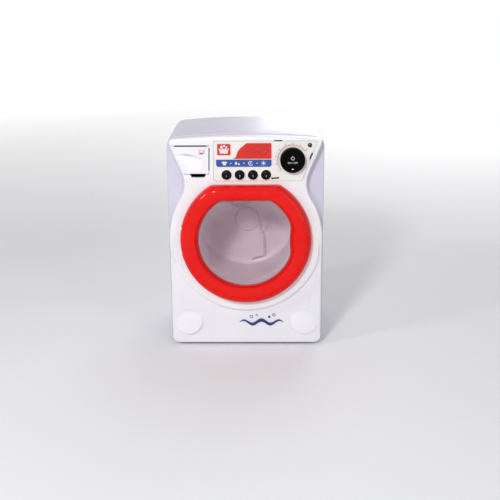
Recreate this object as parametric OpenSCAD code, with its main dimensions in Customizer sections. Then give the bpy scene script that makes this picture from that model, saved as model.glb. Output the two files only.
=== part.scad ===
// Toy washing machine: a battery toy with a hinged porthole door, a turning drum, a detergent
// drawer, four press buttons and a programme knob. Front faces -Y, +Z is up, and the origin is
// on the surface it stands on, under the middle of the whole toy, door included.

/* [Body] */
// Width of the housing
body_w = 183; // [176:1:195]
// Height of the housing's top crease above the table
body_h = 261; // [255:1:270]
// Depth of the housing from the fascia to the back
body_d = 146; // [140:1:160]
// Wall of the two housing halves
wall = 2.4; // [2:0.1:3]
// Height of the rubber feet
foot_h = 3; // [2:0.5:5]
// Diameter of a rubber foot
foot_dia = 18; // [12:1:22]
// Drop of the top edge from the middle to the corners
crown = 3.5; // [1:0.5:5]
// Drop from the housing's crease to the fascia's top edge
face_drop = 3; // [1:0.5:6]
// Depth of the fascia behind its front plane, down to the joint of the two halves
face_depth = 16; // [14:0.5:20]
// Depth of the side recesses behind the front plane
recess_depth = 12.8; // [9:0.2:13]
// Step from the door boss down to the lower front
lower_step = 4; // [2:0.5:5]
// Drop from the housing's crease to the door's centre
door_drop = 125; // [122:1:130]

/* [Fascia outline] */
// Margin between the round boss and the housing's side
boss_inset = 1.5; // [1:0.5:4]
// Margin between the wings' tips and the housing's side
wing_inset = 1.5; // [1:0.5:4]
// Inward lean of the wings, mm for each mm of drop
wing_lean = 0.43; // [0.35:0.01:0.46]
// Radius of the waist fillet between wing and boss
waist_r = 35; // [28:1:40]

/* [Door] */
// Width of the boss that shows round the door ring
boss_rim = 13; // [11:0.5:15]
// Height that the flat top takes off the ring's circle
ring_cut = 11; // [8:0.5:14]
// Width of the ring's band round the window
ring_band = 21; // [19:0.5:23]
// Width of the ring's band above the window
top_band = 18; // [16:0.5:20]
// How far the ring's crest stands in front of the boss
ring_rise = 14; // [12:0.5:16]
// Wall of the hollow door ring
ring_wall = 2; // [1.6:0.1:2.4]
// How far the ring's grip bulges into the window on the free side
pane_bulge = 4; // [2:0.5:6]
// Rise of the domed window
pane_dome = 4.5; // [2:0.5:5]
// Thickness of the window
pane_t = 1.6; // [1.2:0.1:2]
// Distance of the hinge axis inside the ring's edge
hinge_in = 4; // [3.8:0.1:4.4]
// Distance of the hinge axis in front of the boss
hinge_out = 5.6; // [5.4:0.1:6]
// Diameter of a hinge pin
pin_dia = 2.4; // [2:0.1:2.6]

/* [Controls] */
// Diameter of a push button
button_dia = 10.8; // [8:0.2:10.8]
// Distance between button centres
button_pitch = 15.2; // [14:0.1:16]
// Drop from the fascia's top edge to the buttons
button_drop = 44.7; // [44:0.1:46]
// Distance of the first button from the middle
button_x = -21.7; // [-23:0.1:-20]
// Travel of a button
button_travel = 1.5; // [1:0.1:1.6]
// Diameter of the programme knob
knob_dia = 28.8; // [26:0.2:30]
// Distance of the knob inside the wing's tip
knob_in = 35.7; // [34:0.1:37]
// Drop from the fascia's top edge to the knob
knob_drop = 27; // [26:0.1:28]
// Diameter of the indicator lamp
led_dia = 5; // [3:1:5]

/* [Drawer] */
// Distance the drawer slides out
drawer_travel = 30; // [20:1:32]
// Depth of the drawer tray behind its front
tray_depth = 42; // [38:1:46]
// Wall of the drawer tray
tray_wall = 1.4; // [1.2:0.1:1.8]

/* [Drum and drive] */
// How much wider the drum is inside than the window, all round
drum_margin = 5.5; // [4:0.5:7]
// Distance from the window's rim to the back of the drum
drum_reach = 104; // [98:1:106]
// Wall of the drum
drum_wall = 2; // [1.6:0.1:2.4]
// Diameter of the drum's shaft
shaft_dia = 6; // [5:0.5:7]
// Gear tooth module
gear_module = 0.8; // [0.7:0.05:0.85]
// Teeth of the drum gear
drum_teeth = 56; // [52:2:60]
// Teeth of the small wheel of the reduction gear
small_teeth = 14; // [12:2:16]
// Teeth of the large wheel of the reduction gear
large_teeth = 42; // [38:2:44]
// Teeth of the motor pinion
pinion_teeth = 12; // [12:2:14]

/* [Power] */
// Diameter of an AA cell
cell_dia = 14.5; // [14:0.1:14.5]
// Length of an AA cell
cell_len = 50.5; // [49:0.1:50.5]
// Diameter of the loudspeaker
speaker_dia = 36; // [28:1:40]

/* [Hidden] */
$fn = 64;

// Planes from front to back
front_y = (ring_rise - body_d) / 2;
face_top = body_h - face_drop;
door_z = body_h - door_drop;
boss_r = body_w / 2 - boss_inset;
wing_top = body_w / 2 - wing_inset;
ring_r = boss_r - boss_rim;
ring_flat = ring_r - ring_cut;
pane_r = ring_r - ring_band;
pane_flat = ring_flat - top_band;
drum_r = pane_r + drum_margin;
button_z = face_top - button_drop;
knob_x = wing_top - knob_in;
knob_z = face_top - knob_drop;
seam_y = front_y + face_depth;
recess_y = front_y + recess_depth;
back_y = front_y + body_d;
face_t = 3;
inner_front_y = front_y + face_t;
back_in_y = back_y - wall;

// Small measures shared by several pieces
fit = 0.3;
slide_fit = 0.4;
bottom_z = foot_h;
edge_r = 2.6;
port_r = pane_r + 1;
body_corner = 12;
face_corner = 5;
boss_margin = 3.2;
crease_y = front_y + 30;
seam_top = face_top + (body_h - face_top) * face_depth / 30;

function smooth(t) = let (u = max(0, min(1, t))) u * u * (3 - 2 * u);
function mix(a, b, t) = a + (b - a) * t;

// Turns half an outline, from top middle to bottom middle, into a closed one
function mirrored(half) = concat(half, [for (i = [len(half) - 2 : -1 : 1]) [-half[i][0], half[i][1]]]);
function at_y(points, y) = [for (p = points) [p[0], y, p[1]]];

// Half width of the fascia's front: leaning wing, concave waist fillet, round boss, straight foot
wing_dir = [-wing_lean, -1] / norm([wing_lean, 1]);
wing_out = [-wing_dir[1], wing_dir[0]];
wing_base = [wing_top, face_top - 4 - door_z] + wing_out * waist_r;
waist_b = wing_base * wing_dir;
waist_c = wing_base * wing_base - pow(boss_r + waist_r, 2);
waist_centre = wing_base + wing_dir * (-waist_b - sqrt(waist_b * waist_b - waist_c));
waist_top = door_z + waist_centre[1] - wing_out[1] * waist_r;
waist_foot = door_z + waist_centre[1] * boss_r / (boss_r + waist_r);
skirt_x = body_w / 2 - 1.4;
function face_x(z) =
    z >= waist_top ? wing_top - (face_top - 4 - z) * wing_lean
    : z >= waist_foot ? waist_centre[0] - sqrt(pow(waist_r, 2) - pow(z - door_z - waist_centre[1], 2))
    : z >= door_z ? sqrt(pow(boss_r, 2) - pow(z - door_z, 2))
    : mix(boss_r, skirt_x, smooth((door_z - z) / 24));

// Half width where the fascia's coved side meets the recess
foot_margin = 5.5;
boss_foot_margin = 16;
recess_x = body_w / 2 - 0.7;
function foot_x(z) =
    min(recess_x, face_x(z) + mix(foot_margin, boss_foot_margin, smooth((waist_top - 20 - z) / 20)));

// Heights of the outline's side points as shares from top to bottom, close together at the waist
side_steps = [0, 0.03, 0.06, 0.09, 0.12, 0.145, 0.17, 0.195, 0.22, 0.245, 0.27, 0.295, 0.32, 0.345,
    0.37, 0.395, 0.42, 0.445, 0.47, 0.50, 0.535, 0.57, 0.605, 0.64, 0.68, 0.73, 0.79, 0.87, 0.94, 1];
function side_x(kind, z) = kind == 0 ? body_w / 2 : kind == 1 ? foot_x(z) : face_x(z);

// Right half of an outline; kind 0 is the body, 1 the cove's foot, 2 the fascia's front
function half_outline(kind, inset, top, corner, low_corner) = let (
    low = bottom_z + inset,
    high = top - inset,
    r = max(0.5, corner - inset),
    rl = max(0.5, low_corner - inset),
    x_top = side_x(kind, high - crown - r) - inset,
    corner_z = high - crown - r,
    x_low = side_x(kind, low + rl) - inset
) concat(
    [for (t = [0, 0.3, 0.6, 0.82]) let (x = (x_top - r) * t) [x, high - crown * t * t]],
    [for (a = [90 : -22.5 : 1]) [x_top - r + r * cos(a), corner_z + r * sin(a)]],
    [for (t = side_steps) let (z = mix(corner_z, low + rl, t)) [side_x(kind, z) - inset, z]],
    [for (a = [-30 : -30 : -90]) [x_low - rl + rl * cos(a), low + rl + rl * sin(a)]],
    [for (t = [0.86, 0.7, 0.56, 0.42, 0.28, 0.14, 0]) [(x_low - rl) * t, low]]
);
function outline(kind, inset, top, corner, low_corner) =
    mirrored(half_outline(kind, inset, top, corner, low_corner));

// Closed skin through rings of equal length; a closed stack joins its last ring to its first
module skin(rings, closed_stack = false) {
    n = len(rings[0]);
    m = len(rings);
    last = closed_stack ? m - 1 : m - 2;
    walls = [for (j = [0 : last], i = [0 : n - 1]) let (
        a = j * n + i,
        b = j * n + (i + 1) % n,
        c = ((j + 1) % m) * n + (i + 1) % n,
        d = ((j + 1) % m) * n + i
    ) each [[a, b, c], [a, c, d]]];
    caps = closed_stack ? [] : [[for (i = [n - 1 : -1 : 0]) i], [for (i = [0 : n - 1]) (m - 1) * n + i]];
    polyhedron([for (r = rings) each r], concat(walls, caps), convexity = 10);
}

// The fascia's front plane steps back below the boss
function front_at(z) = mix(front_y + lower_step, front_y, smooth((z - door_z + 20) / 20));

// Points of the front outline drawn in to a circle about the door's centre
function drawn_in(points, radius, margin) = [for (p = points) let (
    v = [p[0], p[1] - door_z],
    r = min(radius, norm(v) - margin)
) [v[0] * r / norm(v), door_z + v[1] * r / norm(v)]];

face_edge = outline(2, 0, face_top, face_corner, 8);
face_flat = outline(2, edge_r, face_top, face_corner, 8);
foot_edge = outline(1, 0, mix(seam_top, face_top, 0.4), body_corner - 2, 9);
seam_edge = outline(0, 0, seam_top, body_corner, 9);

// Cove from the recess, t = 0, up to the fascia's edge, t = 1
function cove(t, inset) = [for (i = [0 : len(face_edge) - 1]) let (
    side = sin(90 * t),
    out = 1 - cos(90 * t),
    p = mix(foot_edge[i], face_edge[i], side),
    v = [p[0], p[1] - door_z],
    top = front_at(face_edge[i][1]) + 2.2,
    q = v * (1 - inset / norm(v))
) [q[0], mix(recess_y, top, out), door_z + q[1]]];

// A ring inside the fascia that follows its front plane, shifted back by a depth
function front_ring(points, depth) = [for (i = [0 : len(points) - 1])
    [points[i][0], front_at(face_edge[i][1]) + depth, points[i][1]]];
function raised_ring(points, lift, depth) = [for (i = [0 : len(points) - 1])
    [points[i][0], mix(front_at(face_edge[i][1]), front_y, lift) + depth, points[i][1]]];

module fascia_skin() {
    skin([
        at_y(seam_edge, seam_y),
        at_y(seam_edge, recess_y + 1.4),
        at_y(outline(0, 0.5, mix(seam_top, face_top, 0.3), body_corner, 9), recess_y + 0.5),
        cove(0, 0),
        cove(0.25, 0),
        cove(0.5, 0),
        cove(0.75, 0),
        cove(1, 0),
        front_ring(outline(2, 0.7, face_top, face_corner, 8), 0.8),
        front_ring(face_flat, 0),
        front_ring(drawn_in(face_flat, boss_r + 0.6, 1), 0),
        raised_ring(drawn_in(face_flat, boss_r - 0.4, 1.4), 0.65, 0),
        raised_ring(drawn_in(face_flat, boss_r - 2.6, 2), 1, 0),
        at_y(drawn_in(face_flat, port_r - 2, 3), front_y),
        at_y(drawn_in(face_flat, port_r - 2, 3), inner_front_y),
        raised_ring(drawn_in(face_flat, boss_r - 4.8, 3), 1, face_t),
        front_ring(drawn_in(face_flat, boss_r - 1.8, 2.4), face_t),
        front_ring(outline(2, wall + 0.8, face_top, face_corner, 8), face_t),
        cove(0.6, wall + 0.6),
        [for (p = cove(0, wall)) [p[0], recess_y + wall, p[2]]],
        at_y(outline(0, wall, seam_top, body_corner, 9), seam_y)
    ], closed_stack = true);
}

// Helpers: solids drawn in the front view and pushed along Y
module slab(points, y0, y1) {
    translate([0, y1, 0]) rotate([90, 0, 0]) linear_extrude(y1 - y0) polygon(points);
}
module rod(x, z, r, y0, y1) {
    translate([x, y0, z]) rotate([-90, 0, 0]) cylinder(r = r, h = y1 - y0);
}
module turned(x, z, profile) {
    translate([x, 0, z]) rotate([-90, 0, 0]) rotate_extrude() polygon(profile);
}
// Pan-head screw along Y; the head is in front of seat when way is -1, behind it when way is 1
module screw(x, z, head_r, head_h, shank_r, length, seat, way) {
    head = way > 0 ? seat : seat - head_h;
    tip = way > 0 ? seat - length : seat + length;
    difference() {
        union() {
            rod(x, z, head_r, head, head + head_h);
            rod(x, z, shank_r, min(seat, tip), max(seat, tip));
        }
        for (turn = [0, 90])
            translate([x, way > 0 ? seat + head_h : seat - head_h, z]) rotate([0, turn, 0])
                cube([head_r * 1.1, head_h * 0.9, head_r * 0.28], center = true);
    }
}

// Polygon with every corner cut to an arc
function arc_corner(a, b, c, r, steps) = let (
    u = (a - b) / norm(a - b),
    v = (c - b) / norm(c - b),
    half = acos(u * v) / 2,
    centre = b + (u + v) / norm(u + v) * r / sin(half),
    p = b + u * r / tan(half) - centre,
    q = b + v * r / tan(half) - centre,
    a0 = atan2(p[1], p[0]),
    turn = atan2(p[0] * q[1] - p[1] * q[0], p * q)
) [for (k = [0 : steps]) centre + r * [cos(a0 + turn * k / steps), sin(a0 + turn * k / steps)]];
function rounded(points, r, steps = 4) = let (n = len(points)) [for (i = [0 : n - 1])
    each arc_corner(points[(i + n - 1) % n], points[i], points[(i + 1) % n], r, steps)];
// Convex polygon grown outwards by d, or drawn in where d is negative
function grown(points, d) = let (n = len(points)) [for (i = [0 : n - 1]) let (
    u = points[(i + n - 1) % n] - points[i],
    v = points[(i + 1) % n] - points[i],
    w = u / norm(u) + v / norm(v),
    half = acos((u * v) / (norm(u) * norm(v))) / 2
) points[i] - w / norm(w) * d / sin(half)];

// Control panel outline and the trapezoid of the drawer front, both leaning with the wings
panel_top = face_top - 5.6;
panel_low = door_z + 70.2;
panel_left = -36.5;
panel_margin = 6.4;
panel_t = 2;
panel_gap = 0.4;
panel_y = front_y - 0.2;
panel_seat_y = panel_y + panel_t;
panel_points = [
    [panel_left, panel_top],
    [wing_top - (face_top - 4 - panel_top) * wing_lean - panel_margin, panel_top],
    [face_x(panel_low) - panel_margin + 0.6, panel_low],
    [panel_left, panel_low]
];
drawer_top = face_top - 12;
drawer_low = button_z + 1.3;
drawer_right = -42;
drawer_lean = 0.6;
drawer_rim = 0.4;
function wing_edge(z) = -(wing_top - (face_top - 4 - z) * wing_lean);
function drawer_frame(side, top, right, low) = [
    [wing_edge(drawer_top + top) + side, drawer_top + top],
    [drawer_right + right, drawer_top + top],
    [drawer_right - drawer_lean + right, drawer_low - low],
    [wing_edge(drawer_low - low) + side, drawer_low - low]
];
drawer_points = drawer_frame(drawer_rim, 0, 0, 0);
drawer_y = front_y + 0.4;
drawer_front_t = 2;
pocket_top_gap = 1.8;
pocket_side_gap = 1.2;
pocket_points = drawer_frame(-2, pocket_top_gap, pocket_side_gap, 0.9);
pocket_y = front_y + 2.4;
drawer_pad = 1.2;
drawer_seat_y = inner_front_y + drawer_pad;
tray_in = 3.4;
tray_side = 5.6;
tray_points = drawer_frame(tray_side, -tray_in, -tray_in, -tray_in);
tray_end_y = drawer_y + drawer_front_t + tray_depth;

// Posts and screws
post_side = ring_r - 11;
post_low = body_w / 2 - 17.5;
post_low_z = bottom_z + 17;
housing_posts = [[-post_side, door_z + 66], [post_side, door_z + 66], [-post_low, post_low_z],
    [post_low, post_low_z], [0, face_top - 15]];
post_r = 3.6;
pilot_r = 1.2;
tower_r = 4.4;
well_r = 3.4;
tower_floor = 4;
board_posts = [[panel_left + 10.5, button_z + 14], [knob_x - 23.3, button_z + 14],
    [knob_x + 5.7, button_z - 1], [knob_x - 14.3, panel_top - 4]];
board_t = 1.6;
board_left = panel_left + 5.5;
board_y = front_y + 14;
button_hole = 7;
button_gap = 0.4;
led_x = wing_top - 16;
led_z = panel_top - 4.7;
knob_y = panel_y - 0.4;

// Door hinge and catch
hinge_x = -(ring_r - hinge_in);
hinge_y = front_y - hinge_out;
ear_gap = 14;
ear_t = 4;
ear_r = 2.6;
ear_relief = 0.9;
pin_fit = 0.06;
rib_t = 2.2;
catch_w = 8;
catch_t = 1.6;
catch_gap = 3;
catch_x = ring_r - ring_wall - catch_gap - catch_t;

// Moulded toe at a lower corner: a low dome, tilted so that only its lower edge stands clear
toe_x = body_w / 2 - 21;
toe_z = bottom_z + 29.5;
toe_r = 17.3;
toe_rise = 2.2;
module toe(side) {
    translate([side * toe_x, front_y + lower_step, toe_z]) rotate([-8, 0, side * 4]) rotate([90, 0, 0])
        rotate_extrude() polygon([[0, -face_t], [toe_r, -face_t], [toe_r, 0], [toe_r - 0.5, 0.5],
            [toe_r * 0.8, toe_rise * 0.5], [toe_r * 0.6, toe_rise * 0.75], [toe_r * 0.35, toe_rise * 0.93],
            [0, toe_rise]]);
}

// Fine groove down the lower front and round the top of the toe, drawn for the +X side
groove_depth = 0.45;
groove_w = 0.6;
groove_line = [[toe_x + 6.3, toe_z + 33], [toe_x + 6.2, toe_z + 18.6], [toe_x + 5.4, toe_z + 16.2],
    [toe_x + 3.4, toe_z + 14.2], [toe_x, toe_z + 12.6], [toe_x - 9.6, toe_z + 10.6]];
module groove(side) {
    line = concat(groove_line, [for (i = [len(groove_line) - 1 : -1 : 0])
        groove_line[i] + groove_w * (i < 2 ? [-1, 0] : i < 4 ? [-0.7, 0.7] : [-0.2, 1])]);
    slab([for (p = line) [side * p[0], p[1]]], front_y + lower_step - 1, front_y + lower_step + groove_depth);
}

module front_shell() {
    color("white")
    difference() {
        union() {
            fascia_skin();
            for (p = housing_posts) rod(p[0], p[1], post_r, front_at(p[1]) + face_t - 0.5, seam_y);
            for (p = board_posts) rod(p[0], p[1], 2.4, inner_front_y - 0.5, board_y);
            for (side = [-1, 1]) toe(side);
            slab(grown(tray_points, 4.4), inner_front_y - 0.5, drawer_seat_y);
            // Collar that leads from the porthole to the drum
            difference() {
                rod(0, door_z, port_r + 2, inner_front_y - 0.5, drum_front_y - 1.2);
                rod(0, door_z, port_r, front_y - 1, drum_front_y);
            }
            // Hinge ears
            for (side = [-1, 1]) translate([hinge_x, 0, door_z + side * ear_gap - ear_t / 2]) {
                translate([-ear_r + ear_relief, hinge_y, 0])
                    cube([2 * ear_r - ear_relief, hinge_out + 0.5, ear_t]);
                translate([0, hinge_y, 0]) cylinder(r = ear_r, h = ear_t);
            }
        }
        rod(0, door_z, port_r, front_y - 1, inner_front_y + 1);
        translate([hinge_x, hinge_y, door_z - 30]) cylinder(d = pin_dia + 2 * pin_fit, h = 60);
        // Panel seat and the openings in its floor
        slab(rounded(grown(panel_points, panel_gap), 2.4), front_y - 1, panel_seat_y);
        for (i = [0 : 3]) rod(button_x + i * button_pitch, button_z, button_hole, front_y, inner_front_y + 1);
        rod(knob_x, knob_z, 6, front_y, inner_front_y + 1);
        rod(led_x, led_z, 3.6, front_y, inner_front_y + 1);
        // Drawer pocket, open at the wing's edge, and the way through for the tray
        slab(pocket_points, front_y - 1, pocket_y);
        slab(grown(tray_points, slide_fit), front_y, drawer_seat_y + 1);
        // Finger slot under the drawer and the clearance slots above and beside it, right through
        for (slot = drawer_slots()) slab(slot, front_y - 1, drawer_seat_y + 1);
        clip_slots(0.3, front_y - 1, inner_front_y + 1);
        // Slot for the door catch
        translate([catch_x - 0.9, front_y - 1, door_z - catch_w / 2 - 0.6])
            cube([catch_t + 1.8, face_t + 2, catch_w + 1.2]);
        for (side = [-1, 1]) groove(side);
        // Pilot holes
        for (p = housing_posts) rod(p[0], p[1], pilot_r, inner_front_y + 4.4, seam_y + 1);
        for (p = board_posts) rod(p[0], p[1], 0.8, inner_front_y + 1, board_y + 1);
    }
}

function drawer_slots() = [
    rounded([[drawer_right - 22.5, drawer_low + 0.4], [drawer_right - 2.8, drawer_low + 0.4],
        [drawer_right - 5.4, drawer_low - 4.4], [drawer_right - 20, drawer_low - 4.4]], 1.2),
    [[wing_edge(drawer_top) + 5, drawer_top - 0.4], [wing_edge(drawer_top) + 5, drawer_top + pocket_top_gap],
        [drawer_right - 2, drawer_top + pocket_top_gap], [drawer_right - 2, drawer_top - 0.4]],
    [drawer_points[1] - [0.4, 3], pocket_points[1] - [0, 3], pocket_points[2] + [0, 4],
        drawer_points[2] + [-0.4, 3.1]]
];

function rear_rings(inset, y_end) = [
    at_y(outline(0, inset + 12, body_h, body_corner + 10, 16), y_end),
    at_y(outline(0, inset + 8, body_h, body_corner + 8, 14), y_end - 1.4),
    at_y(outline(0, inset + 4.2, body_h, body_corner + 6, 12), y_end - 5),
    at_y(outline(0, inset + 1.2, body_h, body_corner + 4, 10), y_end - 12),
    at_y(outline(0, inset, body_h, body_corner + 2, 9), y_end - 20),
    at_y(outline(0, inset, body_h, body_corner + 1, 9), crease_y),
    at_y(outline(0, inset, seam_top, body_corner, 9), seam_y)
];
function reversed(list) = [for (i = [len(list) - 1 : -1 : 0]) list[i]];
module rear_skin() {
    skin(concat(rear_rings(0, back_y), reversed(rear_rings(wall, back_in_y))));
}

// Drum and drive, laid out from the window's rim to the back wall
rim_y = front_y - 6;
drum_front_y = front_y + 12;
drum_back_in = rim_y + drum_reach;
drum_back_out = drum_back_in + drum_wall;
shaft_r = shaft_dia / 2;
shaft_fit = 0.05;
bush_r = shaft_r + 2;
bracket_t = 3;
bracket_y = drum_back_out + 3;
bracket_end = bracket_y + bracket_t;
large_y = bracket_end + 1.2;
large_t = 3;
small_t = 6;
drum_gear_y = large_y + large_t + 0.7;
drum_gear_t = 4.8;
cover_y = large_y + large_t + small_t + 1;
cover_t = 2;
mount_y = large_y + large_t + 1.4;
mount_t = 1.2;
motor_y = mount_y + mount_t;
motor_len = 25;
train_angle = 150;
train_dir = [cos(train_angle), sin(train_angle)];
train_side = [-train_dir[1], train_dir[0]];
drum_pos = [0, door_z];
reduction_pos = drum_pos + train_dir * (drum_teeth + small_teeth) / 2 * gear_module;
motor_pos = reduction_pos + train_dir * (large_teeth + pinion_teeth) / 2 * gear_module;
bracket_posts = [for (x = [-post_side, post_side], z = [-38, 38]) [x, door_z + z]];
bracket_post_r = 4;
train_pin_r = 1.5;

// Battery bay
cell_pitch = cell_dia + 0.5;
bay_z = 47;
bay_w = cell_len + 3.6;
bay_h = 3 * cell_pitch + 1;
bay_wall = 1.4;
bay_y = back_in_y - cell_dia - 1.6;
cover_border = 4.6;
battery_cover_t = 1.4;
speaker_z = door_z + 82;
speaker_h = 7;

module rear_shell() {
    color("lavender")
    difference() {
        union() {
            rear_skin();
            for (p = housing_posts) rod(p[0], p[1], tower_r, seam_y, back_in_y + 1);
            for (p = bracket_posts) rod(p[0], p[1], bracket_post_r, bracket_end, back_in_y + 1);
            difference() {
                rod(0, speaker_z, speaker_dia / 2 + 2, back_in_y - 5, back_in_y + 1);
                rod(0, speaker_z, speaker_dia / 2 + 0.2, back_in_y - 6, back_in_y);
            }
        }
        for (p = housing_posts) {
            rod(p[0], p[1], well_r, seam_y + tower_floor, back_y + 1);
            rod(p[0], p[1], pilot_r + 0.4, seam_y - 1, seam_y + tower_floor + 1);
        }
        for (p = bracket_posts) rod(p[0], p[1], pilot_r, bracket_end - 1, bracket_end + 12);
        // Loudspeaker grille
        for (k = [-3 : 3]) let (half = sqrt(pow(speaker_dia / 2 - 3, 2) - pow(k * 4, 2)))
            translate([-half, back_in_y - 1, speaker_z + k * 4 - 0.9]) cube([2 * half, wall + 2, 1.8]);
        // Battery opening and the step its cover lies on
        translate([-bay_w / 2, back_in_y - 1, bay_z - bay_h / 2]) cube([bay_w, wall + 2, bay_h]);
        slab(rounded(bay_frame(cover_border), 3), back_y - battery_cover_t, back_y + 1);
        rod(0, cover_hole_z, 1, back_in_y - 1, back_y);
    }
}
function bay_frame(border) = [
    [-bay_w / 2 - border, bay_z + bay_h / 2 + border],
    [bay_w / 2 + border, bay_z + bay_h / 2 + border],
    [bay_w / 2 + border, bay_z - bay_h / 2 - border],
    [-bay_w / 2 - border, bay_z - bay_h / 2 - border]
];

foot_side = body_w / 2 - 23.5;
foot_reach = body_d / 2 - 25;
foot_chamfer = 0.7;
module feet() {
    color("dimgray")
    for (x = [-foot_side, foot_side], side = [-1, 1])
        translate([x, (front_y + back_y) / 2 + side * foot_reach, 0]) {
        cylinder(d1 = foot_dia - 2 * foot_chamfer, d2 = foot_dia, h = foot_chamfer);
        translate([0, 0, foot_chamfer]) cylinder(d = foot_dia, h = foot_h - foot_chamfer);
    }
}

module control_panel() {
    color("ivory")
    difference() {
        union() {
            slab(rounded(panel_points, 2.2), panel_y, panel_seat_y);
            for (i = [0 : 3]) turned(button_x + i * button_pitch, button_z, [
                [button_dia / 2 + 0.3, panel_y + 0.5], [button_dia / 2 + 0.3, panel_y - 0.5],
                [button_dia / 2 + 0.7, panel_y - 0.8], [button_dia / 2 + 1.3, panel_y - 0.5],
                [button_dia / 2 + 1.6, panel_y + 0.5]]);
        }
        for (i = [0 : 3])
            rod(button_x + i * button_pitch, button_z, button_dia / 2 + button_gap,
                panel_y - 2, panel_seat_y + 1);
        rod(knob_x, knob_z, 3.3, panel_y - 1, panel_seat_y + 1);
        rod(led_x, led_z, led_dia / 2 + 0.1, panel_y - 1, panel_seat_y + 1);
        clip_slots(0, panel_y - 1, panel_seat_y + 1);
        translate([panel_left - 0.1, panel_y - 1, knob_z - 3]) cube([1, 1.9, 6]);
    }
}
// Slots for the panel's clips: by its top edge, below the last button and beside the lamp
module clip_slots(gap, y0, y1) {
    for (slot = [
        [knob_x - 21, panel_top - 0.3, 0, 9, 1.2],
        [knob_x - 24.2, panel_low + 1.7, -5, 9, 2],
        [led_x + 0.5, knob_z - 0.3, -68, 8.7, 1.6]
    ]) translate([slot[0], y0, slot[1]]) rotate([0, slot[2], 0])
        translate([-gap, 0, -gap]) cube([slot[3] + 2 * gap, y1 - y0, slot[4] + 2 * gap]);
}

// Finger scoop in the drawer front: an arched upper edge over a slanting floor, with sloping sides
scoop_depth = 5.5;
scoop_top = drawer_top - 8.4;
scoop_low = drawer_low + 4.4;
scoop_right = drawer_right - 7.2;
scoop_left = wing_edge(scoop_top) + 5.4;
scoop_foot = wing_edge(scoop_low) + 10.7;
scoop_corner = scoop_top - 4.6;
scoop_floor_tilt = 15.2;
scoop_left_tilt = 62;
scoop_right_tilt = 60;
scoop_lip = 0.4;
scoop_arch = [[0, -2.2], [0.08, -0.8], [0.2, 0], [0.36, -0.2], [0.52, -1],
    [0.68, -2.6], [0.84, -4.5], [1, -5.5]];
scoop_points = concat(
    [for (p = scoop_arch) [mix(scoop_left, scoop_right, p[0]), scoop_top + p[1]]],
    [[scoop_right - 0.2, scoop_low + 3], [scoop_right - 3, scoop_low], [scoop_foot, scoop_low],
     [scoop_left, scoop_corner]]
);
module scoop() {
    edge = [scoop_left - scoop_foot, scoop_corner - scoop_low];
    intersection() {
        slab(scoop_points, drawer_y - 1, drawer_y + scoop_depth);
        // Floor
        translate([scoop_left - 10, drawer_y + scoop_depth, scoop_top]) rotate([-scoop_floor_tilt, 0, 0])
            translate([0, -20, -40]) cube([60, 20, 60]);
        // Left side
        translate([scoop_foot - scoop_lip, drawer_y, scoop_low]) rotate([0, 90 - atan2(edge[1], edge[0]), 0])
            rotate([0, 0, -scoop_left_tilt]) translate([0, -20, -40]) cube([60, 60, 80]);
        // Right side
        translate([scoop_right + scoop_lip, drawer_y, scoop_low]) rotate([0, 0, scoop_right_tilt])
            translate([-80, -20, -40]) cube([80, 80, 80]);
    }
}

// Drawer: its front with a bevel along the wing's edge, and the tray behind it
bevel_deep = 1.3;
bevel_wide = 1.9;
module detergent_drawer() {
    color("white")
    difference() {
        union() {
            difference() {
                slab(rounded(drawer_points, 1), drawer_y, drawer_y + drawer_front_t);
                // Bevel along the wing's edge
                translate([wing_edge(scoop_low) + drawer_rim, drawer_y + bevel_deep, scoop_low])
                    rotate([0, -atan(wing_lean), 0]) rotate([0, 0, -atan(bevel_deep / bevel_wide)])
                    translate([-10, -20, -20]) cube([40, 20, 80]);
            }
            slab(tray_points, drawer_y + 1, tray_end_y);
        }
        // Inside of the tray, open at the top, with a floor block behind the scoop
        difference() {
            slab(tray_inside(), drawer_y + drawer_front_t, tray_end_y - tray_wall);
            slab(tray_points, drawer_y + drawer_front_t - 1, drawer_y + scoop_depth + tray_wall);
        }
        scoop();
    }
}
function tray_inside() = let (p = grown(tray_points, -tray_wall)) [
    [p[0][0] - 6 * wing_lean, p[0][1] + 6],
    [p[1][0], p[1][1] + 6],
    p[2],
    p[3]
];

module drawer_housing() {
    color("gainsboro")
    difference() {
        slab(grown(tray_points, slide_fit + tray_wall), drawer_seat_y, tray_end_y + 2);
        slab(grown(tray_points, slide_fit), drawer_seat_y - 1, tray_end_y + 0.6);
    }
}

// Push button: domed cap, flange behind the panel and a stem over the rubber dome
module push_button(i) {
    r = button_dia / 2;
    top = panel_y - 3.2;
    color("black")
    turned(button_x + i * button_pitch, button_z, concat(
        [[0, top]],
        [for (a = [15 : 15 : 90]) [r * sin(a), top + 2.4 * (1 - cos(a))]],
        [[r, panel_seat_y + 0.1], [r + 1.3, panel_seat_y + 0.1], [r + 1.3, panel_seat_y + 1],
         [2.6, panel_seat_y + 1], [2.6, pad_top - button_travel - 0.2], [0, pad_top - button_travel - 0.2]]));
}
pad_t = 1;
pad_top = board_y - pad_t - 3.4;
module button_1() push_button(0);
module button_2() push_button(1);
module button_3() push_button(2);
module button_4() push_button(3);

module button_pad() {
    color("gray")
    union() {
        slab(rounded([[button_x - 6.5, button_z + 4.2], [button_x + 3 * button_pitch + 6.5, button_z + 4.2],
            [button_x + 3 * button_pitch + 6.5, button_z - 4.2], [button_x - 6.5, button_z - 4.2]], 2),
            board_y - pad_t, board_y);
        for (i = [0 : 3]) translate([button_x + i * button_pitch, board_y - pad_t + 0.1, button_z])
            rotate([90, 0, 0]) cylinder(r1 = 4, r2 = 2.8, h = 3.5);
    }
}

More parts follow.
